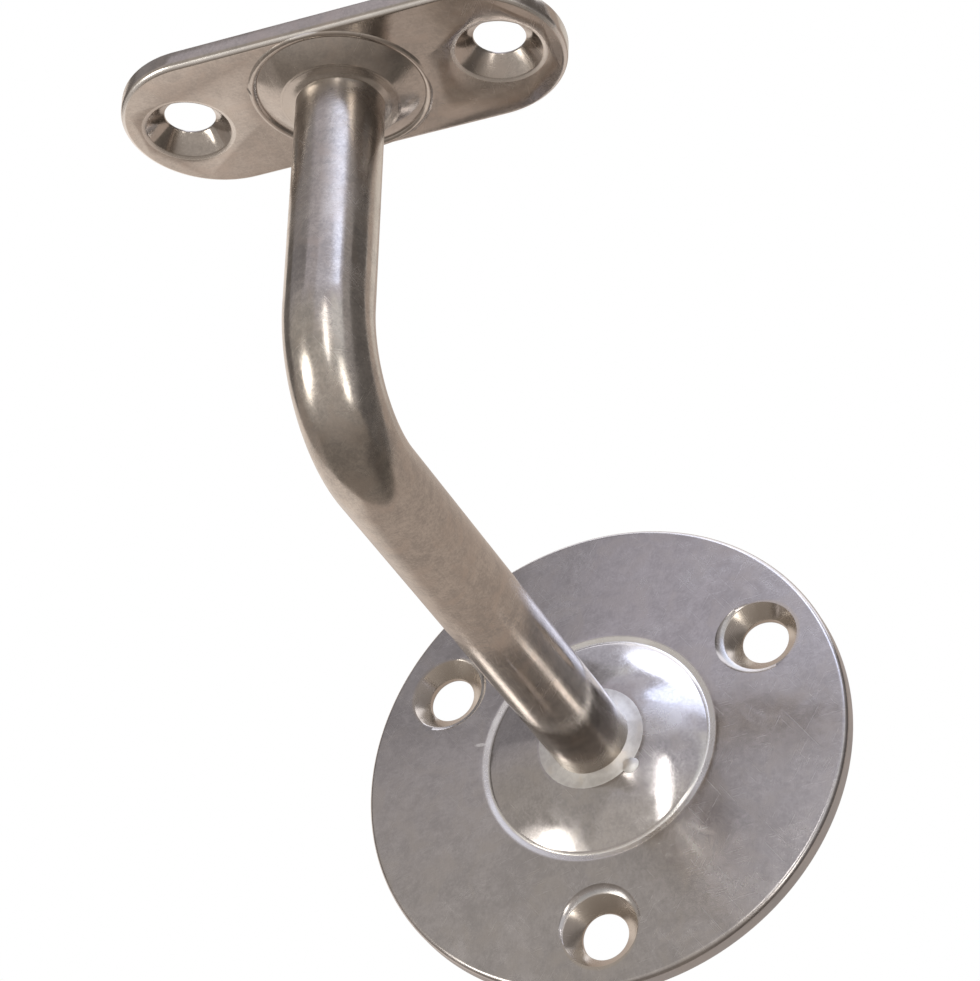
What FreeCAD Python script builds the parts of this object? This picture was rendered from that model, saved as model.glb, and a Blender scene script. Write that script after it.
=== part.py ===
import FreeCAD, Part
import os
import Sketcher

# Handrail bracket: a round wall flange, a bent round arm and a plate that the rail is screwed to.
# Millimetres. The wall is the plane Y = 0, the arm comes out along -Y and turns up to +Z, and the
# rail runs along X. The origin is the middle of the flange on the wall.

doc = FreeCAD.newDocument("handrail_bracket")

# Driving dimensions
SIZES = [
    ("flange_dia", 80.0, "outer diameter of the wall flange"),
    ("rim_height", 2.8, "height of the flange's outer edge over the wall"),
    ("rim_break", 0.55, "chamfer on the flange's front edge"),
    ("seat_width", 3.0, "width of the ground ring that bears on the wall"),
    ("plate_thick", 3.0, "thickness of the pressed plate, along the arm"),
    ("face_rise", 2.2, "rise of the sloping face, from the edge to the pressed ring"),
    ("ring_inset", 11.7, "from the middle of a wall screw hole in to the pressed ring round the dome"),
    ("ring_width", 0.9, "width of the pressed ring"),
    ("ring_depth", 0.25, "depth of the pressed ring"),
    ("dome_height", 2.9, "rise of the dome, from the pressed ring to the flat round the arm"),
    ("wall_hole_inset", 9.2, "from the flange's edge in to the middle of a wall screw hole"),
    ("wall_hole_dia", 7.6, "diameter of a wall screw hole"),
    ("wall_sink_dia", 12.6, "diameter of its countersink at the face"),
    ("wall_hole_count", 3.0, "number of wall screw holes"),
    ("sink_angle", 90.0, "full angle of the countersinks, in degrees"),
    ("sink_over", 2.0, "how far a countersink's cone goes on past the face"),
    ("arm_dia", 12.7, "diameter of the round bar"),
    ("arm_reach", 105.0, "from the wall to the middle of the upright"),
    ("arm_rise", 54.5, "from the middle of the level leg to the underside of the rail plate"),
    ("bend_radius", 17.0, "radius of the bend, at the middle of the bar"),
    ("arm_wall_gap", 4.0, "from the wall to the bar's end in the flange's hollow"),
    ("arm_seat_gap", 0.5, "from the bar's upper end to the rail seat"),
    ("arm_end_break", 0.5, "chamfer on the bar's ends"),
    ("bore_clearance", 0.05, "gap all round the bar in its two bores"),
    ("flange_weld_width", 2.35, "width of the weld round the bar on the dome"),
    ("flange_weld_rise", 0.45, "height of that weld against the bar"),
    ("lump_radius", 2.2, "radius of the drop of weld metal beside the bar"),
    ("lump_gap", 2.75, "from the bar's side to the middle of the drop"),
    ("lump_angle", -42.0, "where the drop lies, in degrees up from +X"),
    ("lump_sunk", 1.75, "depth of the drop's middle under the flat round the bar"),
    ("saddle_length", 67.0, "length of the rail plate, along the rail"),
    ("saddle_width", 27.2, "width of the rail plate"),
    ("saddle_thick", 2.9, "thickness of the rail plate"),
    ("under_break", 0.55, "chamfer on its lower edge"),
    ("seat_break", 0.3, "chamfer on its upper edge"),
    ("boss_width", 6.85, "from the bar's side to the outer edge of the boss"),
    ("bead_width", 1.2, "width of the raised bead round the boss"),
    ("bead_height", 0.3, "height of that bead, and run of its two slanting sides"),
    ("boss_height", 2.2, "height of the boss under the plate"),
    ("rail_hole_inset", 9.3, "from the rail plate's end in to the middle of a rail screw hole"),
    ("rail_hole_dia", 7.4, "diameter of a rail screw hole"),
    ("rail_sink_dia", 12.7, "diameter of its countersink at the underside"),
    ("saddle_weld_width", 1.85, "width of the weld round the bar on the boss"),
    ("saddle_weld_rise", 0.45, "height of that weld against the bar"),
]

sheet = doc.addObject("Spreadsheet::Sheet", "Sizes")
for row, (alias, value, note) in enumerate(SIZES, start=1):
    sheet.set(f"A{row}", alias)
    sheet.set(f"B{row}", str(value))
    sheet.setAlias(f"B{row}", alias)
    sheet.set(f"C{row}", note)
doc.recompute()

# Sizes that several pieces share, as formulas of the sheet's cells
ARM_R = "Sizes.arm_dia / 2"
BORE_R = "(Sizes.arm_dia / 2 + Sizes.bore_clearance)"
FACE_Z = "(Sizes.rim_height + Sizes.face_rise)"
LAND_Z = "(Sizes.rim_height + Sizes.face_rise + Sizes.dome_height)"
HOLE_CIRCLE_R = "(Sizes.flange_dia / 2 - Sizes.wall_hole_inset)"
RING_R = f"({HOLE_CIRCLE_R} - Sizes.ring_inset)"
DOME_R = f"({RING_R} - Sizes.ring_width)"
LAND_R = "(Sizes.arm_dia / 2 + Sizes.flange_weld_width)"
BOSS_Z = "(Sizes.saddle_thick + Sizes.boss_height)"
BOSS_R = "(Sizes.arm_dia / 2 + Sizes.boss_width)"
CAP_R = f"({BOSS_R} - Sizes.bead_width)"
BOSS_LAND_R = "(Sizes.arm_dia / 2 + Sizes.saddle_weld_width)"
FULL_TURN = 360.0
TOUCH = 1e-4


def number(formula):
    """The value of a formula of the sheet's cells."""
    return float(sheet.evalExpression(formula))


def origin_feature(body, role):
    """The body's own origin plane or axis with this role."""
    return next(item for item in body.Origin.OriginFeatures if item.Role == role)


def new_body(label):
    body = doc.addObject("PartDesign::Body", label)
    body.Label = label
    return body


def new_sketch(body, name, role):
    """An empty sketch on one of the body's origin planes."""
    sketch = body.newObject("Sketcher::SketchObject", name)
    sketch.AttachmentSupport = [(origin_feature(body, role), "")]
    sketch.MapMode = "FlatFace"
    return sketch


def arc_through(start, end, centre):
    """The shorter arc from start to end about centre, as a circle arc and whether it runs backwards."""
    spoke_a = start - centre
    spoke_b = end - centre
    circle = Part.Circle(centre, FreeCAD.Vector(0, 0, 1), spoke_a.Length)
    angle_a = circle.parameter(start)
    angle_b = circle.parameter(end)
    backwards = spoke_a.cross(spoke_b).z < 0
    if backwards:
        angle_a, angle_b = angle_b, angle_a
    return Part.ArcOfCircle(circle, angle_a, angle_b), backwards


def centre_on_axis(start, end):
    """The point of the vertical axis that is as far from start as from end."""
    height = (end.x ** 2 + end.y ** 2 - start.x ** 2 - start.y ** 2) / (2 * (end.y - start.y))
    return FreeCAD.Vector(0, height, 0)


def draw_profile(sketch, corners, arcs=()):
    """Draw a closed outline and tie it to the sheet.

    corners holds a pair of formulas for each corner, or 0 where it lies on an axis. arcs holds the
    numbers of the sides that are arcs centred on the vertical axis.
    """
    points = []
    for across, up in corners:
        points.append(FreeCAD.Vector(number(across) if across else 0, number(up) if up else 0, 0))
    first, last = [], []
    for side, start in enumerate(points):
        end = points[(side + 1) % len(points)]
        if side in arcs:
            geometry, backwards = arc_through(start, end, centre_on_axis(start, end))
        else:
            geometry, backwards = Part.LineSegment(start, end), False
        sketch.addGeometry(geometry, False)
        first.append(2 if backwards else 1)
        last.append(1 if backwards else 2)
    for side in range(len(points)):
        after = (side + 1) % len(points)
        sketch.addConstraint(Sketcher.Constraint("Coincident", side, last[side], after, first[after]))
    for side in arcs:
        sketch.addConstraint(Sketcher.Constraint("PointOnObject", side, 3, -2))
    for side, (across, up) in enumerate(corners):
        if across:
            value = number(across)
            tie(sketch, Sketcher.Constraint("DistanceX", -1, 1, side, first[side], value), across)
        else:
            sketch.addConstraint(Sketcher.Constraint("PointOnObject", side, first[side], -2))
        if up:
            value = number(up)
            tie(sketch, Sketcher.Constraint("DistanceY", -1, 1, side, first[side], value), up)
        else:
            sketch.addConstraint(Sketcher.Constraint("PointOnObject", side, first[side], -1))


def tie(sketch, constraint, formula):
    """Add a dimension to a sketch and bind it to the sheet."""
    place = sketch.addConstraint(constraint)
    sketch.setExpression(f"Constraints[{place}]", formula)


def turn(body, kind, name, sketch):
    """Turn a sketch round its own vertical axis, as added or as removed material."""
    before = body.Shape.Volume if body.Tip else 0.0
    feature = body.newObject(kind, name)
    feature.Profile = sketch
    feature.ReferenceAxis = (sketch, ["V_Axis"])
    feature.Angle = FULL_TURN
    sketch.Visibility = False
    doc.recompute()
    if body.Shape.Volume == before:
        raise RuntimeError(f"{name} changed nothing")
    return feature


def edges_where(feature, test):
    """The names of the feature's edges that pass a test."""
    names = [f"Edge{place}" for place, edge in enumerate(feature.Shape.Edges, start=1) if test(edge)]
    if not names:
        raise RuntimeError(f"{feature.Name} has no such edge")
    return names


def at_height(height, across=None):
    """A test for edges that lie wholly at a height of the body, and are as wide as across, if given."""
    def test(edge):
        box = edge.BoundBox
        level = abs(box.ZMin - height) < TOUCH and abs(box.ZMax - height) < TOUCH
        return level and (across is None or abs(box.XLength - across) < TOUCH)
    return test


def break_edges(body, name, base, edges, formula):
    """Chamfer some edges by a size of the sheet."""
    feature = body.newObject("PartDesign::Chamfer", name)
    feature.Base = (base, edges)
    feature.setExpression("Size", formula)
    doc.recompute()
    return feature


def countersunk_drill(body, name, hole_dia, sink_dia, face_height):
    """The outline of a countersinking drill, from the far side up past the face, round its own axis."""
    slope = "tan(Sizes.sink_angle / 2 * 1deg)"
    neck = f"{face_height} - ({sink_dia} - {hole_dia}) / 2 / {slope}"
    sketch = new_sketch(body, name, "YZ_Plane")
    draw_profile(sketch, [
        (0, 0),
        (f"{hole_dia} / 2", 0),
        (f"{hole_dia} / 2", neck),
        (f"{sink_dia} / 2 + Sizes.sink_over * {slope}", f"{face_height} + Sizes.sink_over"),
        (0, f"{face_height} + Sizes.sink_over"),
    ])
    return sketch


# Wall flange: a pressed disc, drawn with the wall at Z = 0 and its face up
def make_wall_flange():
    body = new_body("wall_flange")
    section = new_sketch(body, "FlangeSection", "XZ_Plane")
    draw_profile(section, [
        (BORE_R, LAND_Z),
        (LAND_R, LAND_Z),
        (DOME_R, FACE_Z),
        (f"{DOME_R} + Sizes.ring_width / 2", f"{FACE_Z} - Sizes.ring_depth"),
        (RING_R, FACE_Z),
        ("Sizes.flange_dia / 2", "Sizes.rim_height"),
        ("Sizes.flange_dia / 2", 0),
        ("Sizes.flange_dia / 2 - Sizes.seat_width", 0),
        (DOME_R, f"{FACE_Z} - Sizes.plate_thick"),
        (LAND_R, f"{LAND_Z} - Sizes.plate_thick"),
        (BORE_R, f"{LAND_Z} - Sizes.plate_thick"),
    ], arcs=[1])
    disc = turn(body, "PartDesign::Revolution", "Disc", section)
    front_edge = edges_where(disc, at_height(number("Sizes.rim_height"), number("Sizes.flange_dia")))
    break_edges(body, "RimBreak", disc, front_edge, "Sizes.rim_break")

    # The face slopes, so the countersinks are set by its height on the hole circle
    face_at_holes = ("(Sizes.rim_height + Sizes.face_rise * Sizes.wall_hole_inset"
                     " / (Sizes.wall_hole_inset + Sizes.ring_inset))")
    drill = countersunk_drill(body, "WallDrill", "Sizes.wall_hole_dia", "Sizes.wall_sink_dia",
                              face_at_holes)
    drill.setExpression("AttachmentOffset.Base.x", f"-{HOLE_CIRCLE_R}")
    hole = turn(body, "PartDesign::Groove", "WallHole", drill)
    ring = body.newObject("PartDesign::PolarPattern", "WallHoles")
    ring.Originals = [hole]
    ring.Axis = (origin_feature(body, "Z_Axis"), [""])
    ring.Angle = FULL_TURN
    ring.setExpression("Occurrences", "Sizes.wall_hole_count")
    body.Tip = ring

    # Stand the disc up against the wall
    body.Placement = FreeCAD.Placement(FreeCAD.Vector(), FreeCAD.Rotation(FreeCAD.Vector(1, 0, 0), 90))
    return body


# Bent arm: a round bar, drawn with +Y away from the wall
def make_bent_arm():
    body = new_body("bent_arm")
    top = "(Sizes.arm_rise + Sizes.saddle_thick - Sizes.arm_seat_gap)"
    gap = number("Sizes.arm_wall_gap")
    reach = number("Sizes.arm_reach")
    bend = number("Sizes.bend_radius")
    centre = FreeCAD.Vector(reach - bend, bend, 0)
    bend_start = FreeCAD.Vector(reach - bend, 0, 0)
    bend_end = FreeCAD.Vector(reach, bend, 0)
    path = new_sketch(body, "ArmPath", "YZ_Plane")
    path.addGeometry(Part.LineSegment(FreeCAD.Vector(gap, 0, 0), bend_start), False)
    path.addGeometry(arc_through(bend_start, bend_end, centre)[0], False)
    path.addGeometry(Part.LineSegment(bend_end, FreeCAD.Vector(reach, number(top), 0)), False)
    path.addConstraint(Sketcher.Constraint("PointOnObject", 0, 1, -1))
    path.addConstraint(Sketcher.Constraint("Horizontal", 0))
    path.addConstraint(Sketcher.Constraint("Tangent", 0, 2, 1, 1))
    path.addConstraint(Sketcher.Constraint("Tangent", 1, 2, 2, 1))
    path.addConstraint(Sketcher.Constraint("Vertical", 2))
    tie(path, Sketcher.Constraint("Radius", 1, bend), "Sizes.bend_radius")
    tie(path, Sketcher.Constraint("DistanceX", -1, 1, 0, 1, gap), "Sizes.arm_wall_gap")
    tie(path, Sketcher.Constraint("DistanceX", -1, 1, 2, 2, reach), "Sizes.arm_reach")
    tie(path, Sketcher.Constraint("DistanceY", -1, 1, 2, 2, number(top)), top)

    section = new_sketch(body, "ArmSection", "XZ_Plane")
    section.setExpression("AttachmentOffset.Base.z", "-Sizes.arm_wall_gap")
    section.addGeometry(Part.Circle(FreeCAD.Vector(), FreeCAD.Vector(0, 0, 1), number(ARM_R)), False)
    section.addConstraint(Sketcher.Constraint("Coincident", 0, 3, -1, 1))
    tie(section, Sketcher.Constraint("Radius", 0, number(ARM_R)), ARM_R)
    doc.recompute()

    bar = body.newObject("PartDesign::AdditivePipe", "Bar")
    bar.Profile = section
    bar.Spine = (path, ["Edge1", "Edge2", "Edge3"])
    doc.recompute()
    at_top = at_height(number(top))
    ends = edges_where(bar, lambda edge: at_top(edge) or abs(edge.BoundBox.YMax - gap) < TOUCH)
    break_edges(body, "EndBreaks", bar, ends, "Sizes.arm_end_break")

    # Half a turn about the upright direction points the arm away from the wall
    body.Placement = FreeCAD.Placement(FreeCAD.Vector(), FreeCAD.Rotation(FreeCAD.Vector(0, 0, 1), 180))
    return body


# Rail plate: drawn upside down, with the rail seat at Z = 0 and its underside up
def make_rail_saddle():
    body = new_body("rail_saddle")
    outline = new_sketch(body, "SaddleOutline", "XY_Plane")
    reach = number("(Sizes.saddle_length - Sizes.saddle_width) / 2")
    half = number("Sizes.saddle_width / 2")
    right = FreeCAD.Vector(reach, 0, 0)
    left = FreeCAD.Vector(-reach, 0, 0)
    side = FreeCAD.Vector(0, half, 0)
    end = FreeCAD.Vector(half, 0, 0)
    outline.addGeometry(Part.LineSegment(left - side, right - side), False)
    outline.addGeometry(Part.Arc(right - side, right + end, right + side), False)
    outline.addGeometry(Part.LineSegment(right + side, left + side), False)
    outline.addGeometry(Part.Arc(left + side, left - end, left - side), False)
    for edge in range(4):
        outline.addConstraint(Sketcher.Constraint("Tangent", edge, 2, (edge + 1) % 4, 1))
    outline.addConstraint(Sketcher.Constraint("Horizontal", 0))
    outline.addConstraint(Sketcher.Constraint("Symmetric", 1, 3, 3, 3, -1, 1))
    tie(outline, Sketcher.Constraint("Radius", 1, half), "Sizes.saddle_width / 2")
    tie(outline, Sketcher.Constraint("DistanceX", 3, 3, 1, 3, 2 * reach),
        "Sizes.saddle_length - Sizes.saddle_width")
    plate = body.newObject("PartDesign::Pad", "Plate")
    plate.Profile = outline
    plate.setExpression("Length", "Sizes.saddle_thick")
    doc.recompute()
    underside = edges_where(plate, at_height(number("Sizes.saddle_thick")))
    lower = break_edges(body, "UnderBreak", plate, underside, "Sizes.under_break")
    seat = edges_where(lower, at_height(0.0))
    break_edges(body, "SeatBreak", lower, seat, "Sizes.seat_break")

    # The boss starts half way through the plate, so that it is one with it
    boss = new_sketch(body, "BossSection", "XZ_Plane")
    draw_profile(boss, [
        (0, "Sizes.saddle_thick / 2"),
        (BOSS_R, "Sizes.saddle_thick / 2"),
        (BOSS_R, "Sizes.saddle_thick"),
        (f"{BOSS_R} - Sizes.bead_height", "Sizes.saddle_thick + Sizes.bead_height"),
        (f"{CAP_R} + Sizes.bead_height", "Sizes.saddle_thick + Sizes.bead_height"),
        (CAP_R, "Sizes.saddle_thick"),
        (BOSS_LAND_R, BOSS_Z),
        (0, BOSS_Z),
    ], arcs=[5])
    turn(body, "PartDesign::Revolution", "Boss", boss)
    bore = new_sketch(body, "ArmBore", "XZ_Plane")
    draw_profile(bore, [(0, 0), (BORE_R, 0), (BORE_R, BOSS_Z), (0, BOSS_Z)])
    turn(body, "PartDesign::Groove", "Bore", bore)
    drill = countersunk_drill(body, "RailDrill", "Sizes.rail_hole_dia", "Sizes.rail_sink_dia",
                              "Sizes.saddle_thick")
    drill.setExpression("AttachmentOffset.Base.z", "Sizes.saddle_length / 2 - Sizes.rail_hole_inset")
    hole = turn(body, "PartDesign::Groove", "RailHole", drill)
    pair = body.newObject("PartDesign::Mirrored", "RailHoles")
    pair.Originals = [hole]
    pair.MirrorPlane = (origin_feature(body, "YZ_Plane"), [""])
    body.Tip = pair

    # Half a turn about the rail brings the seat to the top
    body.Placement = FreeCAD.Placement(FreeCAD.Vector(), FreeCAD.Rotation(FreeCAD.Vector(1, 0, 0), 180))
    body.setExpression("Placement.Base.y", "-Sizes.arm_reach")
    body.setExpression("Placement.Base.z", "Sizes.arm_rise + Sizes.saddle_thick")
    return body


def weld_bead(body, name, width, rise, floor):
    """A weld round the bar: flat under, against the bar inside, and sloping on top."""
    section = new_sketch(body, name, "XZ_Plane")
    draw_profile(section, [
        (ARM_R, floor),
        (f"{ARM_R} + {width}", floor),
        (ARM_R, f"{floor} + {rise}"),
    ])
    return turn(body, "PartDesign::Revolution", f"{name}Turned", section)


# Weld on the flange, with the drop of metal that was left beside it
def make_flange_weld():
    body = new_body("flange_weld")
    weld_bead(body, "FlangeBead", "Sizes.flange_weld_width", "Sizes.flange_weld_rise", LAND_Z)
    lump = body.newObject("PartDesign::AdditiveSphere", "Drop")
    lump.AttachmentSupport = [(origin_feature(body, "XY_Plane"), "")]
    lump.MapMode = "FlatFace"
    lump.setExpression("Radius", "Sizes.lump_radius")
    reach = f"({ARM_R} + Sizes.lump_gap)"
    lump.setExpression("AttachmentOffset.Base.x", f"{reach} * cos(Sizes.lump_angle * 1deg)")
    lump.setExpression("AttachmentOffset.Base.y", f"{reach} * sin(Sizes.lump_angle * 1deg)")
    lump.setExpression("AttachmentOffset.Base.z", f"{LAND_Z} - Sizes.lump_sunk")
    doc.recompute()

    # What the flange and the bar take up is cut out of the drop
    taken = new_sketch(body, "FlangeAndBar", "XZ_Plane")
    draw_profile(taken, [
        (0, 0),
        (DOME_R, 0),
        (DOME_R, FACE_Z),
        (LAND_R, LAND_Z),
        (ARM_R, LAND_Z),
        (ARM_R, f"{LAND_Z} + Sizes.lump_radius"),
        (0, f"{LAND_Z} + Sizes.lump_radius"),
    ], arcs=[2])
    turn(body, "PartDesign::Groove", "DropSeat", taken)
    body.Placement = FreeCAD.Placement(FreeCAD.Vector(), FreeCAD.Rotation(FreeCAD.Vector(1, 0, 0), 90))
    return body


# Weld on the rail plate's boss, drawn upside down like the plate
def make_saddle_weld():
    body = new_body("saddle_weld")
    weld_bead(body, "SaddleBead", "Sizes.saddle_weld_width", "Sizes.saddle_weld_rise", BOSS_Z)
    body.Placement = FreeCAD.Placement(FreeCAD.Vector(), FreeCAD.Rotation(FreeCAD.Vector(1, 0, 0), 180))
    body.setExpression("Placement.Base.y", "-Sizes.arm_reach")
    body.setExpression("Placement.Base.z", "Sizes.arm_rise + Sizes.saddle_thick")
    return body


def check(bodies):
    """Stop if a feature failed, or if a piece isn't one sound solid."""
    for item in doc.Objects:
        if "Invalid" in item.State or "Error" in item.State:
            raise RuntimeError(f"{item.Label} failed: {item.State}")
    for body in bodies:
        shape = body.Shape
        if shape.isNull() or not shape.isValid() or len(shape.Solids) != 1:
            raise RuntimeError(f"{body.Label} is not one sound solid")


bodies = [make_wall_flange(), make_bent_arm(), make_rail_saddle(), make_flange_weld(), make_saddle_weld()]
doc.recompute()
check(bodies)
os.makedirs("parts", exist_ok=True)
for body in bodies:
    body.Shape.exportStep(f"parts/{body.Label}.step")
    print(f"{body.Label}: {body.Shape.Volume:.1f} cubic millimetres")
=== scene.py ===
import math

import bpy
from mathutils import Matrix, Quaternion, Vector


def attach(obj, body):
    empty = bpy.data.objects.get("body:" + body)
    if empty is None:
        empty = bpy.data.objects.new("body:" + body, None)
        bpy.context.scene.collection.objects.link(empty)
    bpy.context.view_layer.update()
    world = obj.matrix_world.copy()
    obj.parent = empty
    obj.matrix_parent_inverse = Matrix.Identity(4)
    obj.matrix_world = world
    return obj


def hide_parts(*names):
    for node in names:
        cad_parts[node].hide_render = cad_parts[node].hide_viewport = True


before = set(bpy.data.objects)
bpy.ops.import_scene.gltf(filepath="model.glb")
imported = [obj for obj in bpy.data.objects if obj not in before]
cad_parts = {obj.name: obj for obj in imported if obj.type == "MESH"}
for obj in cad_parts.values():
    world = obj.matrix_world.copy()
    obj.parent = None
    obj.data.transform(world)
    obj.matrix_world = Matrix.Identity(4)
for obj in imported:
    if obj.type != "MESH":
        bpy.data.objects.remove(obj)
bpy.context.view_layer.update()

# Handrail bracket in polished stainless steel. The wall is the plane Y = 0, the arm comes out along
# -Y and turns up to the rail plate, and the rail runs along X. Every size below is in millimetres.
MM = 0.001
TURN_STEPS = 256
SAME_PLACE = 0.0005

# Wall flange, with its heights from the wall. The dome's foot is parted from the face by a groove.
FLANGE_R, RIM_H = 40.0, 2.8
RING_R, RING_H = 19.45, 4.963
GROOVE_R, GROOVE_H = 18.5, 4.74
DOME_R, DOME_FOOT_H = 18.0, 5.08
LAND_R, LAND_H = 8.7, 7.9
FLANGE_WALL = 3.0
GROUND_R = 37.0
HOLLOW_R, HOLLOW_H = 18.2, 2.0
WALL_HOLE_R, WALL_SINK_R, WALL_SINK_H = 3.8, 6.3, 3.768
WALL_HOLES_REACH = 30.8
WALL_HOLE_ANGLES = (-90, 30, 150)

# Bent arm
BAR_R, BAR_CHAMFER = 6.35, 0.5
BORE_R = 6.4
FOOT_Y, UPRIGHT_Y = -4.0, -105.0
BEND_R = 17.0
TOP_Z = 56.9

# Rail plate, with its heights down from the seat
SEAT_Z = 57.4
PLATE_R, PLATE_STRAIGHT, PLATE_THICK = 13.6, 19.9, 2.9
BEAD_R, BEAD_H = 13.2, 3.2
BEAD_EDGE = 0.3
BOSS_R, BOSS_FOOT_H = 12.0, 2.93
BOSS_TOP_R, BOSS_H = 8.2, 5.1
RAIL_HOLE_R, RAIL_SINK_R, RAIL_HOLES_X = 3.7, 6.35, 24.2

# Welds, and the drop beside the lower one
WELD_RISE = 0.45
DROP_R, DROP_REACH, DROP_ANGLE = 3.3, 8.4, -42
DROP_Y, DROP_FOOT_Y = -4.74, -6.0


def deselect_all():
    bpy.ops.object.select_all(action="DESELECT")


def choose(piece):
    """Select one piece alone and make it the active one."""
    deselect_all()
    piece.select_set(True)
    bpy.context.view_layer.objects.active = piece


def edit_on(piece):
    choose(piece)
    bpy.ops.object.mode_set(mode="EDIT")


def edit_off():
    bpy.ops.object.mode_set(mode="OBJECT")


def pick(piece, kind, test):
    """Select the vertices or edges of a piece in edit mode that pass a test on their ends."""
    bpy.ops.mesh.select_mode(type=kind)
    bpy.ops.mesh.select_all(action="DESELECT")
    edit_off()
    mesh = piece.data
    if kind == "VERT":
        for vertex in mesh.vertices:
            vertex.select = bool(test(vertex.co / MM))
    if kind == "EDGE":
        for edge in mesh.edges:
            ends = [mesh.vertices[i].co / MM for i in edge.vertices]
            edge.select = bool(test(ends[0], ends[1]))
    bpy.ops.object.mode_set(mode="EDIT")


def pen_down(name, across, up):
    """Start an outline in the XY plane with one point, at these millimetres."""
    deselect_all()
    bpy.ops.mesh.primitive_plane_add(size=MM, location=(0, 0, 0))
    piece = bpy.context.object
    piece.name = name
    bpy.ops.object.mode_set(mode="EDIT")
    bpy.ops.mesh.select_mode(type="VERT")
    bpy.ops.mesh.merge(type="CENTER")
    bpy.ops.transform.translate(value=(across * MM, up * MM, 0))
    return piece


def line_to(start, across, up, parts=1):
    """Draw a straight line from start to a point, in equal parts, and return the point."""
    step = ((across - start[0]) / parts * MM, (up - start[1]) / parts * MM, 0)
    for _ in range(parts):
        bpy.ops.mesh.extrude_region_move(TRANSFORM_OT_translate={"value": step})
    return across, up


def arc_to(start, across, up, steps):
    """Draw an arc from start to a point, with its centre on the turning axis, and return the point."""
    centre_up = (across ** 2 + up ** 2 - start[0] ** 2 - start[1] ** 2) / (2 * (up - start[1]))
    first = math.atan2(start[1] - centre_up, start[0])
    last = math.atan2(up - centre_up, across)
    bpy.ops.mesh.spin(steps=steps, angle=first - last, center=(0, centre_up * MM, 0), axis=(0, 0, 1))
    return across, up


def round_corner(piece, across, up, width, segments):
    """Round the outline's corner at a point."""
    near = 0.01
    pick(piece, "VERT", lambda at: abs(at.x - across) < near and abs(at.y - up) < near)
    bpy.ops.mesh.bevel(affect="VERTICES", offset=width * MM, segments=segments)


def turn_outline(piece, steps=TURN_STEPS):
    """Close an outline, turn it once round the Y axis and make its faces point outwards."""
    bpy.ops.mesh.select_all(action="SELECT")
    bpy.ops.mesh.remove_doubles(threshold=SAME_PLACE * MM)
    bpy.ops.mesh.spin(steps=steps, angle=math.tau, center=(0, 0, 0), axis=(0, 1, 0),
                      use_auto_merge=True)
    bpy.ops.mesh.select_all(action="SELECT")
    bpy.ops.mesh.remove_doubles(threshold=SAME_PLACE * MM)
    bpy.ops.mesh.normals_make_consistent(inside=False)
    edit_off()
    return piece


def cut_with(piece, tool, operation="DIFFERENCE"):
    """Cut a piece with a tool, or join them, and throw the tool away."""
    choose(piece)
    bpy.ops.object.modifier_add(type="BOOLEAN")
    cut = piece.modifiers[-1]
    cut.object = tool
    cut.operation = operation
    cut.solver = "EXACT"
    bpy.ops.object.modifier_apply(modifier=cut.name)
    deselect_all()
    tool.select_set(True)
    bpy.ops.object.delete()


def place(piece, matrix):
    """Put a piece at its place and leave its object at the origin."""
    piece.matrix_world = matrix
    choose(piece)
    bpy.ops.object.transform_apply(location=True, rotation=True, scale=True)


def finish_piece(piece, node, material, angle=28):
    """Smooth a piece, give it its steel and let it stand for its CAD node."""
    choose(piece)
    bpy.ops.object.shade_smooth_by_angle(angle=math.radians(angle))
    piece.data.materials.clear()
    piece.data.materials.append(material)
    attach(piece, "root")
    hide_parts(node)


def countersink_tool(name, hole_r, sink_r, face, through):
    """A countersinking drill with its tip down the Y axis: face is the level of the wide end."""
    neck = face - (sink_r - hole_r)
    lip, flare, flare_rise, clear = 0.2, 0.45, 0.04, 2.0
    tool = pen_down(name, 0, through)
    at = line_to((0, through), hole_r, through)
    at = line_to(at, hole_r, neck)
    at = line_to(at, sink_r - lip, face - lip)
    at = line_to(at, sink_r + flare, face + flare_rise)
    at = line_to(at, sink_r + clear + lip, face + clear)
    line_to(at, 0, face + clear)
    round_corner(tool, hole_r, neck, 0.12, 3)
    round_corner(tool, sink_r - lip, face - lip, 0.1, 3)
    return turn_outline(tool, 160)


def wall_hole(angle):
    """The middle of a wall hole, across and up from the flange's middle."""
    turn = math.radians(angle)
    return WALL_HOLES_REACH * math.cos(turn), WALL_HOLES_REACH * math.sin(turn)


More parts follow.
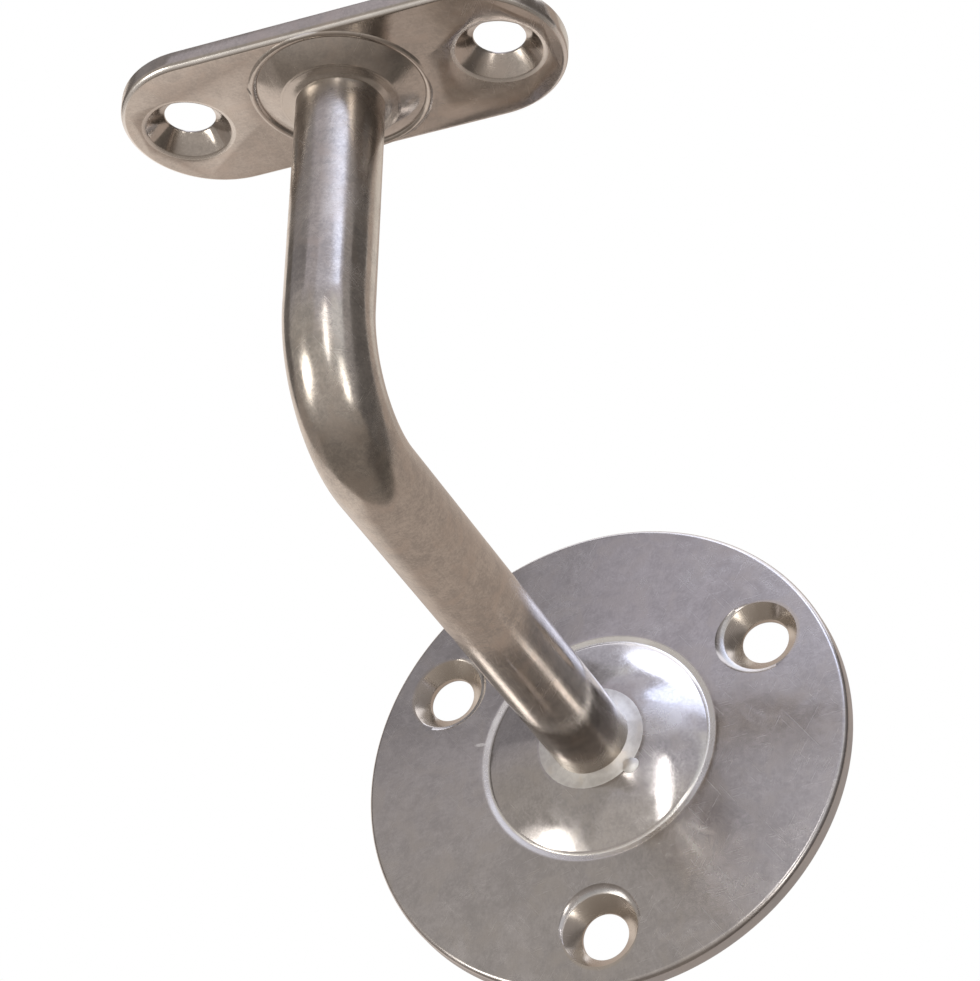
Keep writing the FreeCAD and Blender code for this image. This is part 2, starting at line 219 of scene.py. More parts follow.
# Wall flange
def make_flange_disc(material):
    back_h = LAND_H - FLANGE_WALL
    disc = pen_down("flange_disc", BORE_R, LAND_H)
    at = line_to((BORE_R, LAND_H), LAND_R, LAND_H, 2)
    at = arc_to(at, DOME_R, DOME_FOOT_H, 16)
    at = line_to(at, GROOVE_R, GROOVE_H, 3)
    at = line_to(at, RING_R, RING_H, 3)
    at = line_to(at, FLANGE_R, RIM_H, 24)
    at = line_to(at, FLANGE_R, 0.0, 3)
    at = line_to(at, GROUND_R, 0.0)
    at = line_to(at, HOLLOW_R, HOLLOW_H, 14)
    at = line_to(at, LAND_R, back_h, 6)
    at = line_to(at, BORE_R, back_h)
    line_to(at, BORE_R, LAND_H)
    round_corner(disc, FLANGE_R, RIM_H, 0.8, 8)
    round_corner(disc, FLANGE_R, 0.0, 0.2, 3)
    round_corner(disc, DOME_R, DOME_FOOT_H, 0.12, 4)
    round_corner(disc, GROOVE_R, GROOVE_H, 0.12, 5)
    round_corner(disc, RING_R, RING_H, 0.16, 4)
    turn_outline(disc)
    for angle in WALL_HOLE_ANGLES:
        across, up = wall_hole(angle)
        tool = countersink_tool("wall_drill", WALL_HOLE_R, WALL_SINK_R, WALL_SINK_H, -2.0)
        place(tool, Matrix.Translation((across * MM, 0, -up * MM)))
        cut_with(disc, tool)
    # The outline was drawn with its face along +Y, and the face looks along -Y
    place(disc, Matrix.Rotation(math.pi, 4, "X"))
    finish_piece(disc, "wall_flange", material)
    return disc


# Bent arm
def make_bent_bar(material):
    leg_parts, upright_parts = 10, 6
    leg_step = (FOOT_Y - BAR_CHAMFER - (UPRIGHT_Y + BEND_R)) / leg_parts
    upright_step = (TOP_Z - BAR_CHAMFER - BEND_R) / upright_parts
    end_r = BAR_R - BAR_CHAMFER
    grow = BAR_R / end_r
    deselect_all()
    bpy.ops.mesh.primitive_circle_add(vertices=144, radius=end_r * MM, fill_type="NOTHING",
                                      location=(0, FOOT_Y * MM, 0), rotation=(math.pi / 2, 0, 0))
    bar = bpy.context.object
    bar.name = "bent_bar"
    bpy.ops.object.transform_apply(location=True, rotation=True, scale=True)
    edit_on(bar)
    bpy.ops.mesh.select_all(action="SELECT")
    bpy.ops.mesh.extrude_region_move(TRANSFORM_OT_translate={"value": (0, -BAR_CHAMFER * MM, 0)})
    bpy.ops.transform.resize(value=(grow, 1, grow), center_override=(0, (FOOT_Y - BAR_CHAMFER) * MM, 0))
    for _ in range(leg_parts):
        bpy.ops.mesh.extrude_region_move(TRANSFORM_OT_translate={"value": (0, -leg_step * MM, 0)})
    bpy.ops.mesh.spin(steps=60, angle=math.pi / 2, axis=(1, 0, 0),
                      center=(0, (UPRIGHT_Y + BEND_R) * MM, BEND_R * MM))
    for _ in range(upright_parts):
        bpy.ops.mesh.extrude_region_move(TRANSFORM_OT_translate={"value": (0, 0, upright_step * MM)})
    bpy.ops.mesh.extrude_region_move(TRANSFORM_OT_translate={"value": (0, 0, BAR_CHAMFER * MM)})
    bpy.ops.transform.resize(value=(1 / grow, 1 / grow, 1),
                             center_override=(0, UPRIGHT_Y * MM, TOP_Z * MM))
    bpy.ops.mesh.edge_face_add()
    pick(bar, "VERT", lambda at: abs(at.y - FOOT_Y) < 0.001)
    bpy.ops.mesh.edge_face_add()
    bpy.ops.mesh.select_all(action="SELECT")
    bpy.ops.mesh.remove_doubles(threshold=SAME_PLACE * MM)
    bpy.ops.mesh.normals_make_consistent(inside=False)
    edit_off()
    finish_piece(bar, "bent_arm", material)
    return bar


# Rail plate, made with its underside along +Y and its seat at Y = 0
def make_rail_plate(material):
    near = 0.01
    half_step = 0.5 * math.tau / TURN_STEPS
    deselect_all()
    bpy.ops.mesh.primitive_cylinder_add(vertices=TURN_STEPS, radius=PLATE_R * MM, depth=PLATE_THICK * MM,
                                        location=(0, PLATE_THICK / 2 * MM, 0),
                                        rotation=(math.pi / 2, half_step, 0))
    plate = bpy.context.object
    plate.name = "rail_plate"
    bpy.ops.object.transform_apply(location=True, rotation=True, scale=True)
    edit_on(plate)
    for side in (1, -1):
        pick(plate, "VERT", lambda at: at.x * side > 0)
        bpy.ops.transform.translate(value=(side * PLATE_STRAIGHT * MM, 0, 0))
    pick(plate, "EDGE", lambda a, b: abs(a.y - PLATE_THICK) < near and abs(b.y - PLATE_THICK) < near)
    bpy.ops.mesh.bevel(offset=0.9 * MM, segments=8, affect="EDGES")
    pick(plate, "EDGE", lambda a, b: abs(a.y) < near and abs(b.y) < near)
    bpy.ops.mesh.bevel(offset=0.3 * MM, segments=4, affect="EDGES")
    edit_off()

    root, round_r = 1.0, 0.28
    bead_out, bead_in = BEAD_R - BEAD_EDGE, BOSS_R + BEAD_EDGE
    boss = pen_down("boss", 0, root)
    at = line_to((0, root), BEAD_R, root)
    at = line_to(at, BEAD_R, PLATE_THICK)
    at = line_to(at, bead_out, BEAD_H)
    at = line_to(at, bead_in, BEAD_H)
    at = line_to(at, BOSS_R, BOSS_FOOT_H)
    at = arc_to(at, BOSS_TOP_R, BOSS_H, 14)
    line_to(at, 0, BOSS_H)
    round_corner(boss, bead_out, BEAD_H, round_r, 5)
    round_corner(boss, bead_in, BEAD_H, round_r, 5)
    turn_outline(boss)
    cut_with(plate, boss, "UNION")

    below, above = -1.0, 7.0
    bore = pen_down("bore", 0, below)
    at = line_to((0, below), BORE_R, below)
    at = line_to(at, BORE_R, above)
    line_to(at, 0, above)
    turn_outline(bore, 192)
    cut_with(plate, bore)
    for side in (1, -1):
        tool = countersink_tool("rail_drill", RAIL_HOLE_R, RAIL_SINK_R, PLATE_THICK, -2.0)
        place(tool, Matrix.Translation((side * RAIL_HOLES_X * MM, 0, 0)))
        cut_with(plate, tool)
    turn_down = Matrix.Rotation(-math.pi / 2, 4, "X")
    place(plate, Matrix.Translation((0, UPRIGHT_Y * MM, SEAT_Z * MM)) @ turn_down)
    finish_piece(plate, "rail_saddle", material)
    return plate


def weld_ring(name, inner, outer, floor, rise):
    """A weld round the bar, drawn along +Y: flat under, against the bar inside and rounded on top."""
    ring = pen_down(name, inner, floor)
    at = line_to((inner, floor), outer - 0.5, floor - 0.25)
    at = line_to(at, outer + 0.35, floor - 0.1)
    at = line_to(at, outer - 0.1, floor + 0.012)
    at = line_to(at, outer - 0.7, floor + rise * 0.2)
    at = line_to(at, outer - 1.3, floor + rise * 0.48)
    at = line_to(at, inner + 0.25, floor + rise * 0.86)
    at = line_to(at, inner, floor + rise)
    line_to(at, inner, floor)
    return turn_outline(ring, 192)


def make_flange_weld(material):
    ring = weld_ring("flange_bead", BAR_R, LAND_R, LAND_H, WELD_RISE)
    place(ring, Matrix.Rotation(math.pi, 4, "X"))
    # The drop is longer along the ring than across it, and its foot lies in the dome's metal
    deselect_all()
    turn = math.radians(DROP_ANGLE)
    middle = Vector((DROP_REACH * math.cos(turn), DROP_Y, DROP_REACH * math.sin(turn))) * MM
    bpy.ops.mesh.primitive_uv_sphere_add(segments=96, ring_count=64, radius=DROP_R * MM, location=middle,
                                         rotation=(0, -turn, 0), scale=(1, 1, 1.35))
    drop = bpy.context.object
    bpy.ops.object.transform_apply(location=True, rotation=True, scale=True)
    edit_on(drop)
    bpy.ops.mesh.select_all(action="SELECT")
    bpy.ops.mesh.bisect(plane_co=(0, DROP_FOOT_Y * MM, 0), plane_no=(0, 1, 0), use_fill=True,
                        clear_outer=True)
    edit_off()
    cut_with(ring, drop, "UNION")
    finish_piece(ring, "flange_weld", material, 40)
    return ring


def make_saddle_weld(material):
    ring = weld_ring("saddle_bead", BAR_R, BOSS_TOP_R, BOSS_H, WELD_RISE)
    turn_down = Matrix.Rotation(-math.pi / 2, 4, "X")
    place(ring, Matrix.Translation((0, UPRIGHT_Y * MM, SEAT_Z * MM)) @ turn_down)
    finish_piece(ring, "saddle_weld", material, 40)
    return ring


class SteelLook:
    """The node tree of one steel, laid on the piece's own coordinates in millimetres."""

    def __init__(self, name):
        self.material = bpy.data.materials.new(name)
        self.material.use_nodes = True
        self.tree = self.material.node_tree
        self.shader = self.tree.nodes["Principled BSDF"]
        self.shader.inputs["Metallic"].default_value = 1.0
        self.coordinates = self.tree.nodes.new("ShaderNodeTexCoord")

    def node(self, kind, **settings):
        made = self.tree.nodes.new("ShaderNode" + kind)
        for setting, value in settings.items():
            setattr(made, setting, value)
        return made

    def join(self, source, target):
        self.tree.links.new(source, target)

    def laid(self, size=(1, 1, 1), turn=(0, 0, 0), centre=(0, 0, 0)):
        """Coordinates where 1 is this many millimetres on each axis."""
        mapping = self.node("Mapping", vector_type="TEXTURE")
        mapping.inputs["Location"].default_value = [c * MM for c in centre]
        mapping.inputs["Rotation"].default_value = [math.radians(t) for t in turn]
        mapping.inputs["Scale"].default_value = [v * MM for v in size]
        self.join(self.coordinates.outputs["Object"], mapping.inputs["Vector"])
        return mapping.outputs["Vector"]

    def noise(self, vector, detail=3.0, roughness=0.55, distortion=0.0):
        made = self.node("TexNoise")
        made.inputs["Scale"].default_value = 1.0
        made.inputs["Detail"].default_value = detail
        made.inputs["Roughness"].default_value = roughness
        made.inputs["Distortion"].default_value = distortion
        self.join(vector, made.inputs["Vector"])
        return made.outputs["Fac"]

    def between(self, value, low, high, to_low, to_high):
        """Spread a value from its own range over another, softly at both ends."""
        made = self.node("MapRange", interpolation_type="SMOOTHSTEP")
        made.inputs["From Min"].default_value = low
        made.inputs["From Max"].default_value = high
        made.inputs["To Min"].default_value = to_low
        made.inputs["To Max"].default_value = to_high
        self.join(value, made.inputs["Value"])
        return made.outputs["Result"]

    def combine(self, operation, first, second):
        """Work one sum on two values, each a number or a socket."""
        made = self.node("Math", operation=operation)
        for socket, value in zip(made.inputs, (first, second)):
            if isinstance(value, (int, float)):
                socket.default_value = value
            else:
                self.join(value, socket)
        return made.outputs[0]

    def times(self, first, second):
        return self.combine("MULTIPLY", first, second)

    def plus(self, first, second):
        return self.combine("ADD", first, second)

    def larger(self, first, second):
        return self.combine("MAXIMUM", first, second)

    def blend(self, factor, first, second):
        """Lay the second colour over the first one by a factor."""
        made = self.node("Mix", data_type="RGBA")
        for socket, value in ((made.inputs[0], factor), (made.inputs[6], first), (made.inputs[7], second)):
            if isinstance(value, tuple):
                socket.default_value = (*value, 1)
            elif isinstance(value, (int, float)):
                socket.default_value = value
            else:
                self.join(value, socket)
        return made.outputs[2]

    def spot(self, centre, size, turn=(0, 0, 0)):
        """1 in the middle of a mark and 0 outside its edge."""
        made = self.node("TexGradient", gradient_type="SPHERICAL")
        self.join(self.laid(size, turn, centre), made.inputs["Vector"])
        return made.outputs["Fac"]

    def reach(self, axes, centre=(0, 0, 0)):
        """How far a point lies from the line through a centre where these axes are 0, in millimetres."""
        scale = self.node("VectorMath", operation="MULTIPLY")
        scale.inputs[1].default_value = axes
        self.join(self.laid(centre=centre), scale.inputs[0])
        length = self.node("VectorMath", operation="LENGTH")
        self.join(scale.outputs["Vector"], length.inputs[0])
        return length.outputs["Value"]

    def axis(self, name):
        """How far a point lies along one axis, in millimetres."""
        parts = self.node("SeparateXYZ")
        self.join(self.coordinates.outputs["Object"], parts.inputs["Vector"])
        return self.combine("DIVIDE", parts.outputs[name], MM)

    def finish(self, colour, roughness, bumps):
        """Bumps are pairs of a height and its depth in millimetres."""
        self.join(colour, self.shader.inputs["Base Color"])
        self.join(roughness, self.shader.inputs["Roughness"])
        below = None
        for height, depth in bumps:
            bump = self.node("Bump")
            bump.inputs["Strength"].default_value = 1.0
            bump.inputs["Distance"].default_value = depth * MM
            self.join(height, bump.inputs["Height"])
            if below is not None:
                self.join(below, bump.inputs["Normal"])
            below = bump.outputs["Normal"]
        self.join(below, self.shader.inputs["Normal"])
        return self.material


def painted_rim_highlights(look, axes, centres, radius):
    """A pale band painted round each countersink's edge, a painted highlight."""
    fade, width = 0.25, 0.3
    rim_highlights = None
    for centre in centres:
        away = look.reach(axes, centre)
        rim = look.times(look.between(away, radius - fade, radius, 0.0, 1.0),
                         look.between(away, radius + width, radius + width + fade, 1.0, 0.0))
        rim_highlights = rim if rim_highlights is None else look.larger(rim_highlights, rim)
    return rim_highlights


def worn_steel(look, dark, light, warm, brushed, base, marks=(), satin=None):
    """Polished steel that has been handled: clouds, speckle, polishing lines, haze and scratches.

    Marks are (mask, colour, strength, added roughness), laid on in their order.
    """
    clouds = look.noise(look.laid((9, 9, 9)), 4.0, 0.6, 0.6)
    mottle = look.noise(look.laid((1.7, 1.7, 1.7)), 3.0, 0.6)
    speckle = look.noise(look.laid((0.42, 0.42, 0.42)), 2.0, 0.6)
    tint = look.noise(look.laid((5.5, 5.5, 5.5), centre=(31, 7, 13)), 3.0, 0.6, 0.8)
    lines = look.noise(look.laid(brushed), 2.0, 0.7)
    haze = look.noise(look.laid((13, 13, 13), centre=(3, 19, 41)), 4.0, 0.65, 1.2)
    uneven = look.noise(look.laid((7, 7, 7), centre=(17, 3, 5)), 2.0, 0.5)

    shade = look.plus(look.times(clouds, 0.34), look.times(mottle, 0.32))
    shade = look.plus(shade, look.times(speckle, 0.34))
    colour = look.blend(look.between(shade, 0.37, 0.63, 0.0, 1.0), dark, light)
    colour = look.blend(look.between(tint, 0.45, 0.68, 0.0, 0.75), colour, warm)
    colour = look.blend(look.between(lines, 0.3, 0.7, 0.0, 0.22), colour, dark)

    cuts = None
    sheets = (((0.1, 7.0, 5.0), (0, 24, 37)), ((0.13, 11.0, 6.0), (61, -38, 12)),
              ((0.09, 5.0, 9.0), (12, 71, -53)))
    for number, (size, turn) in enumerate(sheets):
        hairs = look.noise(look.laid(size, turn, (number * 7, 3, 11)), 0.0)
        cut = look.between(hairs, 0.76, 0.84, 0.0, 1.0)
        cuts = cut if cuts is None else look.larger(cuts, cut)
    colour = look.blend(look.times(cuts, 0.3), colour, light)

    hazed = base + 0.11
    rough = look.plus(look.between(haze, 0.42, 0.7, base, hazed), look.times(lines, 0.05))
    rough = look.plus(rough, look.times(mottle, 0.05))
    rough = look.plus(rough, look.times(cuts, 0.1))
    if satin is not None:
        rough = look.plus(rough, satin)
    for mask, mark_colour, strength, roughen in marks:
        colour = look.blend(look.times(mask, strength), colour, mark_colour)
        rough = look.plus(rough, look.times(mask, roughen))
    bumps = ((uneven, 0.02), (mottle, 0.005), (speckle, 0.0009), (lines, 0.0008), (cuts, -0.0006))
    return look.finish(colour, rough, bumps)


def flange_steel():
    look = SteelLook("flange_steel")
    radius = look.reach((1, 0, 1))
    # Both faces slope alike, so height plus slope tells the front from the back
    slope = 0.105
    level = look.combine("SUBTRACT", look.times(radius, slope), look.axis("Y"))
    front = look.between(level, 6.2, 6.6, 0.0, 1.0)

    # The countersinks are bare cut metal, browner than the polished face
    sinks = None
    for angle in WALL_HOLE_ANGLES:
        across, up = wall_hole(angle)
        away = look.reach((1, 0, 1), (across, 0, up))
        inside = look.between(away, WALL_SINK_R - 0.4, WALL_SINK_R + 0.2, 1.0, 0.0)
        sinks = inside if sinks is None else look.larger(sinks, inside)
    sinks = look.times(sinks, look.between(level, 3.93, 4.05, 0.0, 1.0))

    # The back was never polished, and where the face ends at the groove a pale line is painted on, a
    # painted highlight
    clouded = look.between(look.noise(look.laid((6, 6, 6)), 4.0, 0.65), 0.3, 0.7, 0.55, 1.0)
    back = look.times(look.combine("SUBTRACT", 1.0, look.larger(front, sinks)), clouded)
    painted_ring_highlight = look.times(look.between(radius, DOME_R, DOME_R + 0.4, 0.0, 1.0),
                           look.between(radius, RING_R - 0.25, RING_R + 0.25, 1.0, 0.0))
    painted_ring_highlight = look.times(painted_ring_highlight, front)

    # A dull spot beside the weld, where the polishing wheel didn't reach, and a nick at the ring
    dull = look.between(look.spot((10.8, -7.4, 1.3), (5.5, 4.0, 4.0)), 0.0, 0.5, 0.0, 1.0)
    nick = look.between(look.spot((-19.9, -5.0, 4.05), (1.5, 1.5, 0.5), (0, 8, 0)), 0.2, 0.6, 0.0, 1.0)

    # A painted highlight in two strokes: a radial streak of reflected light running out from the dome
    highlight_noise = look.noise(look.laid((2.2, 2.2, 2.2), centre=(9, 4, 1)), 4.0, 0.7)
    ragged = look.between(highlight_noise, 0.35, 0.65, 0.55, 1.0)
    highlight_shape_a = look.spot((14.9, -4.7, -18.8), (1.0, 4.0, 5.2), (0, -34, 0))
    highlight_shape_b = look.spot((16.6, -4.6, -16.9), (0.8, 4.0, 3.6), (0, -62, 0))
    painted_highlight_a = look.times(look.between(highlight_shape_a, 0.0, 0.9, 0.0, 1.0), ragged)
    painted_highlight_b = look.times(look.between(highlight_shape_b, 0.0, 0.9, 0.0, 1.0), ragged)

    marks = ((sinks, (0.5, 0.445, 0.385), 0.7, 0.02),
             (dull, (0.55, 0.54, 0.55), 0.5, 0.16),
             (nick, (0.8, 0.79, 0.78), 0.85, 0.12),
             (painted_ring_highlight, (0.82, 0.81, 0.8), 0.8, 0.16),
             (back, (0.45, 0.47, 0.5), 0.85, 0.2),
             (painted_highlight_a, (0.72, 0.7, 0.66), 0.6, 0.05),
             (painted_highlight_b, (0.72, 0.7, 0.66), 0.45, 0.05))
    return worn_steel(look, dark=(0.4, 0.382, 0.382), light=(0.51, 0.488, 0.488), warm=(0.48, 0.452, 0.435),
                      brushed=(0.16, 0.16, 26), base=0.05, marks=marks,
                      satin=look.between(radius, 18.6, 21.5, 0.0, 0.08))


def bar_steel():
    look = SteelLook("bar_steel")
    # Near its foot the bar is painted lighter and warmer, a painted glow of light from the dome's
    # highlights over a little weld browning; near its top it is darker and browner
    foot_glow_and_tint = look.between(look.spot((0, -6, 0), (13, 13, 13)), 0.0, 0.55, 0.0, 1.0)
    head = look.between(look.spot((0, UPRIGHT_Y, 53), (12, 12, 9)), 0.0, 0.5, 0.0, 1.0)
    # The bend has lost some of its polish, in patches
    bend = look.between(look.spot((0, -103, 3), (22, 22, 22)), 0.0, 0.5, 0.0, 1.0)
    patches = look.noise(look.laid((2.4, 2.4, 2.4), centre=(6, 1, 9)), 4.0, 0.7)
    bend = look.times(bend, look.between(patches, 0.35, 0.65, 0.3, 1.0))
    marks = ((foot_glow_and_tint, (0.6, 0.545, 0.49), 0.7, 0.08),
             (head, (0.42, 0.375, 0.33), 0.35, 0.05),
             (bend, (0.46, 0.43, 0.4), 0.15, 0.09))
    # The upright grows duller above the bend
    return worn_steel(look, dark=(0.37, 0.345, 0.325), light=(0.545, 0.505, 0.465), warm=(0.5, 0.445, 0.4),
                      brushed=(0.2, 24, 0.2), base=0.075, marks=marks,
                      satin=look.between(look.axis("Z"), 20, 34, 0.0, 0.1))


def plate_steel():
    look = SteelLook("plate_steel")
    # The seam of the pressed boss has kept a speck of dark polish
    speck = look.between(look.spot((-12.1, -110.0, 54.2), (0.35, 1.3, 0.8)), 0.2, 0.7, 0.0, 1.0)

    # A painted highlight runs all round the lower edge: how far a point lies from the plate's middle line
    underside_z = SEAT_Z - PLATE_THICK
    underside = look.between(look.axis("Z"), underside_z + 0.25, underside_z + 0.5, 1.0, 0.0)
    along = look.combine("ABSOLUTE", look.axis("X"), 0.0)
    past_end = look.larger(look.combine("SUBTRACT", along, PLATE_STRAIGHT), 0.0)
    from_line = look.combine("SUBTRACT", look.axis("Y"), UPRIGHT_Y)
    squares = look.plus(look.times(past_end, past_end), look.times(from_line, from_line))
    out = look.combine("POWER", squares, 0.5)
    painted_edge_highlight = look.times(look.between(out, PLATE_R - 0.75, PLATE_R - 0.5, 0.0, 1.0), underside)

    centres = ((RAIL_HOLES_X, UPRIGHT_Y, 0), (-RAIL_HOLES_X, UPRIGHT_Y, 0))
    # Painted highlights round the countersinks' edges
    rim_highlights = look.times(painted_rim_highlights(look, (1, 1, 0), centres, RAIL_SINK_R), underside)
    marks = ((rim_highlights, (0.78, 0.75, 0.72), 0.7, 0.12),
             (speck, (0.1, 0.095, 0.09), 0.9, 0.2),
             (painted_edge_highlight, (0.86, 0.85, 0.84), 0.85, 0.12))
    return worn_steel(look, dark=(0.405, 0.375, 0.35), light=(0.525, 0.485, 0.45), warm=(0.5, 0.445, 0.405),
                      brushed=(22, 0.2, 0.2), base=0.08, marks=marks)


def weld_metal():
    look = SteelLook("weld_metal")
    beads = look.noise(look.laid((1.1, 1.1, 1.1)), 4.0, 0.65, 0.4)
    grains = look.noise(look.laid((0.3, 0.3, 0.3)), 2.0, 0.6)
    ripples = look.noise(look.laid((3.5, 3.5, 3.5), centre=(5, 2, 8)), 3.0, 0.6)
    colour = look.blend(look.between(beads, 0.35, 0.65, 0.0, 1.0), (0.57, 0.56, 0.55), (0.65, 0.64, 0.63))
    colour = look.blend(look.between(ripples, 0.48, 0.66, 0.0, 0.6), colour, (0.62, 0.58, 0.53))
    # The weld under the rail plate is ground smoother and is as brown as the plate
    high = look.between(look.axis("Z"), 40.0, 50.0, 0.0, 1.0)
    colour = look.blend(look.times(high, 0.75), colour, (0.47, 0.425, 0.385))
    smoother = look.times(high, 0.14)
    rough = look.combine("SUBTRACT", look.between(beads, 0.3, 0.7, 0.3, 0.4), smoother)
    return look.finish(colour, rough, ((ripples, 0.03), (beads, 0.003), (grains, 0.0006)))


flange_look = flange_steel()
bar_look = bar_steel()
plate_look = plate_steel()
weld_look = weld_metal()

make_flange_disc(flange_look)
make_bent_bar(bar_look)
make_rail_plate(plate_look)
make_flange_weld(weld_look)
make_saddle_weld(weld_look)


# Camera: below the bracket and to its right, looking up at it
def add_camera():
    data = bpy.data.cameras.new("camera")
    camera = bpy.data.objects.new("camera", data)
    bpy.context.scene.collection.objects.link(camera)
    right = Vector((0.92121, 0.3885, 0.02104))
    up = Vector((0.19246, -0.50203, 0.84317))
    back = Vector((0.33814, -0.77268, -0.53724))
    turned = Matrix((right, up, back)).transposed().to_4x4()
    camera.matrix_world = Matrix.Translation((0.17019, -0.43801, -0.24948)) @ turned
    data.sensor_width = 36.0
    data.lens = 124.13
    data.clip_start = 0.01
    data.clip_end = 50.0
    bpy.context.scene.camera = camera


def toward(azimuth, elevation):
    """The direction of an azimuth and an elevation. Azimuth 0 is in front, on -Y, and 90 is on +X."""
    a, e = math.radians(azimuth), math.radians(elevation)
    return Vector((math.sin(a) * math.cos(e), -math.cos(a) * math.cos(e), math.sin(e)))


def softbox(name, where, aim, width, height, level, colour, roll=0):
    """A soft oval lamp of this level, where 1 is as bright as white paper. Sizes are in metres."""
    data = bpy.data.lights.new(name, "AREA")
    data.shape = "ELLIPSE"
    data.size = width
    data.size_y = height
    data.energy = level * math.pi * (math.pi / 4) * width * height
    data.color = colour
    lamp = bpy.data.objects.new(name, data)
    bpy.context.scene.collection.objects.link(lamp)
    lamp.location = where
    lamp.rotation_mode = "QUATERNION"
    faced = (Vector(where) - Vector(aim)).to_track_quat("Z", "Y")
    lamp.rotation_quaternion = faced @ Quaternion((0, 0, 1), math.radians(roll))
    lamp.visible_camera = False


def grey_card(name, azimuth, elevation, half_turn, half_tilt, colour, distance=0.62):
    """A plain card, seen from the bracket under these half angles, that only the steel mirrors."""
    middle = Vector((0, -0.05, 0.01))
    deselect_all()
    bpy.ops.mesh.primitive_plane_add(size=1.0)
    card = bpy.context.object
    card.name = name
    card.scale = (2 * distance * math.tan(math.radians(half_turn)),
                  2 * distance * math.tan(math.radians(half_tilt)), 1)
    direction = toward(azimuth, elevation)
    card.location = middle + direction * distance
    card.rotation_mode = "QUATERNION"
    card.rotation_quaternion = direction.to_track_quat("Z", "Y")
    card.visible_camera = False
    card.visible_diffuse = False
    card.visible_shadow = False
    material = bpy.data.materials.new(name)
    material.use_nodes = True
    nodes = material.node_tree.nodes
    nodes.clear()
    light = nodes.new("ShaderNodeEmission")
    light.inputs["Color"].default_value = (*colour, 1)
    output = nodes.new("ShaderNodeOutputMaterial")
    material.node_tree.links.new(light.outputs["Emission"], output.inputs["Surface"])
    card.data.materials.append(material)
    return card


def lay_card(card, where, size, turn, tilt=0):
    """Move a card, give it this width and height, turn it up from lying flat and tilt its lower edge."""
    card.location = where
    card.scale = (*size, 1)
    card.rotation_mode = "XYZ"
    card.rotation_euler = (math.radians(turn), math.radians(-tilt), 0)


def shade_card(card, axis, edges, colour):
    """Fade a card to another colour between two places on one of its axes, where 0 is its middle."""
    tree = card.data.materials[0].node_tree
    light = next(node for node in tree.nodes if node.type == "EMISSION")
    coordinates = tree.nodes.new("ShaderNodeTexCoord")
    across = tree.nodes.new("ShaderNodeSeparateXYZ")
    fade = tree.nodes.new("ShaderNodeMapRange")
    fade.interpolation_type = "SMOOTHSTEP"
    fade.inputs["From Min"].default_value = edges[0]
    fade.inputs["From Max"].default_value = edges[1]
    mix = tree.nodes.new("ShaderNodeMix")
    mix.data_type = "RGBA"
    mix.inputs[6].default_value = light.inputs["Color"].default_value
    mix.inputs[7].default_value = (*colour, 1)
    tree.links.new(coordinates.outputs["Object"], across.inputs["Vector"])
    tree.links.new(across.outputs[axis], fade.inputs["Value"])
    tree.links.new(fade.outputs["Result"], mix.inputs[0])
    tree.links.new(mix.outputs[2], light.inputs["Color"])


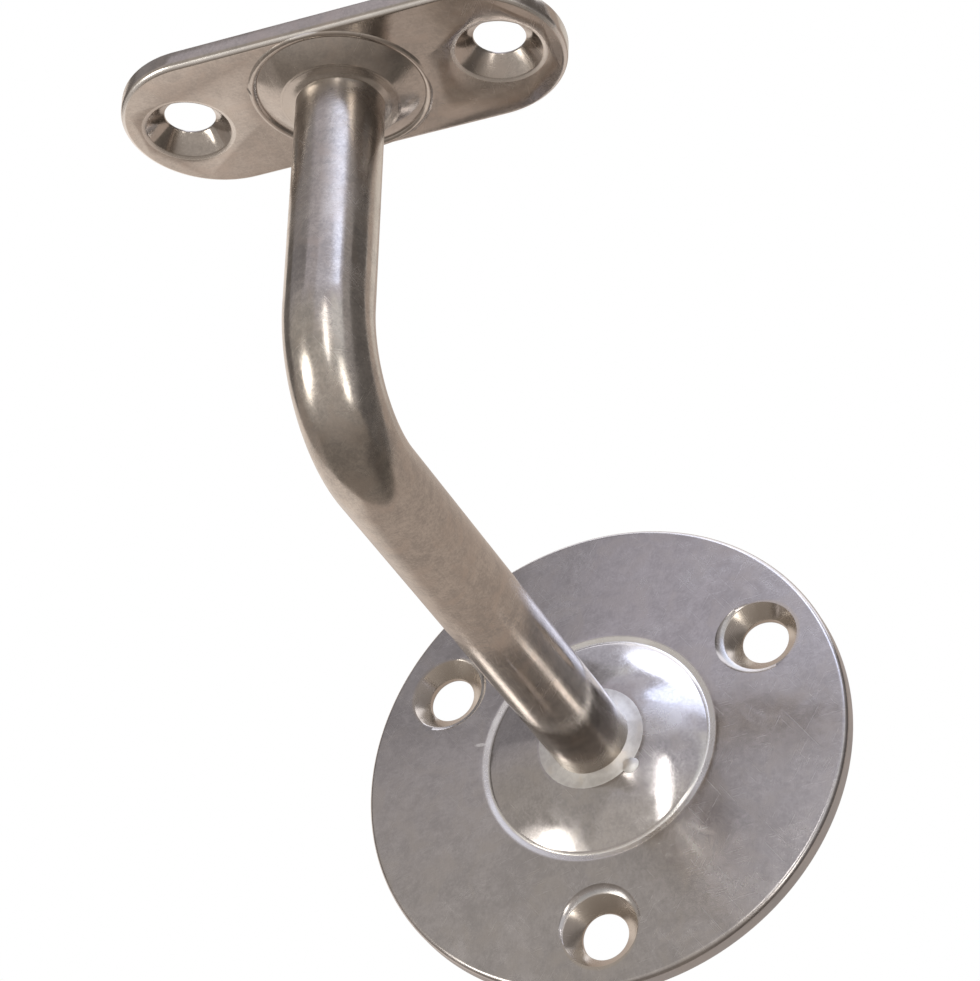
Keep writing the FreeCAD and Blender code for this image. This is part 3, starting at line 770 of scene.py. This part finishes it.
def add_studio():
    scene = bpy.context.scene
    world = bpy.data.worlds.new("studio")
    scene.world = world
    world.use_nodes = True
    world.node_tree.nodes["Background"].inputs["Color"].default_value = (1, 1, 1, 1)
    world.node_tree.nodes["Background"].inputs["Strength"].default_value = 1.0
    deselect_all()
    bpy.ops.mesh.primitive_plane_add(size=8.0, location=(0, 0, -0.36))
    floor = bpy.context.object
    floor.name = "floor"
    material = bpy.data.materials.new("pale_floor")
    material.use_nodes = True
    shader = material.node_tree.nodes["Principled BSDF"]
    shader.inputs["Base Color"].default_value = (0.6, 0.59, 0.58, 1)
    shader.inputs["Roughness"].default_value = 0.9
    floor.data.materials.append(material)

    dome = Vector((0.008, -0.007, 0.0))
    bend = Vector((0.0, -0.105, 0.012))
    cool, warm = (0.87, 0.955, 1.16), (1.0, 0.955, 0.88)
    shade = (0.31, 0.27, 0.235)
    softbox("lamp_high", (0.055, -0.27, 0.425), dome, 0.33, 0.095, 3.0, cool, -43)
    softbox("lamp_wide", bend + toward(27, 44.5) * 1.0, bend, 0.68, 0.22, 1.5, (0.82, 0.95, 1.27), -20)
    softbox("lamp_left", (-0.345, -0.43, -0.13), dome, 0.18, 0.17, 3.6, warm, -20)
    softbox("lamp_left_glow", (-0.345, -0.43, -0.12), dome, 0.33, 0.17, 0.9, warm, -30)
    softbox("lamp_far_left", (-0.414, -0.364, -0.157), dome, 0.12, 0.17, 3.8, warm)
    softbox("lamp_low_right", (0.39, -0.395, -0.262), dome, 0.12, 0.13, 5.0, warm)
    softbox("lamp_front", (0.07, -0.353, 0.005), dome, 0.036, 0.185, 5.0, (1.0, 0.98, 0.95))
    softbox("lamp_right", bend + toward(47, -21) * 0.45, bend, 0.09, 0.12, 3.2, warm)

    grey_card("card_right", 93, 0, 25, 50, (0.19, 0.175, 0.165))
    grey_card("card_right_front", 61, 0, 10, 45, (0.47, 0.44, 0.43))
    front = grey_card("card_front", 0, -3, 27, 31, (0.7, 0.68, 0.72))
    shade_card(front, "Y", (0.3, -0.1), (0.72, 0.675, 0.62))
    grey_card("card_front_high", 18, 44, 32, 17, (0.84, 0.83, 0.92), 1.3)
    front_mid = grey_card("card_front_mid", -24, 12, 15, 41, (0.68, 0.65, 0.71), 0.61)
    shade_card(front_mid, "Y", (0.32, 0.0), (0.57, 0.535, 0.495))
    front_left = grey_card("card_front_left", -53, 12, 25, 45, (0.57, 0.54, 0.565))
    shade_card(front_left, "Y", (0.3, 0.0), (0.55, 0.51, 0.465))
    grey_card("card_high", -20, 74, 32, 13, (0.74, 0.73, 0.8), 0.9)
    grey_card("card_over", 142, 80, 32, 24, (1.9, 1.9, 2.0), 0.4)
    grey_card("card_back_high", 150, 49, 14, 13, (0.95, 0.88, 0.8), 0.22)
    grey_card("card_left_high", -58, 48, 19, 16, (0.37, 0.35, 0.355), 0.6)
    grey_card("card_left", -97, 34, 20, 28, (0.21, 0.19, 0.175))
    grey_card("card_left_low", -97, -18, 20, 24, (0.42, 0.37, 0.33))
    # The pale sheet behind the flange, brighter towards -X, and the dark bench below
    sheet = grey_card("card_behind", 180, 0, 45, 45, (0.62, 0.525, 0.46), 0.15)
    lay_card(sheet, (-0.115, 0.1, 0.05), (0.87, 0.8), 90)
    shade_card(sheet, "X", (0.015, -0.07), (1.04, 0.93, 0.84))
    corner = grey_card("card_corner", 180, -45, 45, 45, shade, 0.16)
    lay_card(corner, (0.085, 0.095, -0.35), (0.95, 0.3), 90, 20)
    shade_card(corner, "X", (-0.02, 0.12), (0.17, 0.15, 0.13))
    bench = grey_card("card_below", 0, -90, 45, 45, shade, 0.345)
    lay_card(bench, (-0.03, -0.13, -0.335), (1.22, 1.06), 0)
    shade_card(bench, "Y", (0.03, -0.26), (0.62, 0.57, 0.525))
    patch = grey_card("card_below_right", 0, -90, 45, 45, shade, 0.34)
    lay_card(patch, (0.35, 0.055, -0.33), (0.6, 0.25), 0)
    shade_card(patch, "X", (-0.5, -0.1), (0.15, 0.13, 0.115))
    scene.view_settings.view_transform = "Standard"


add_camera()
add_studio()
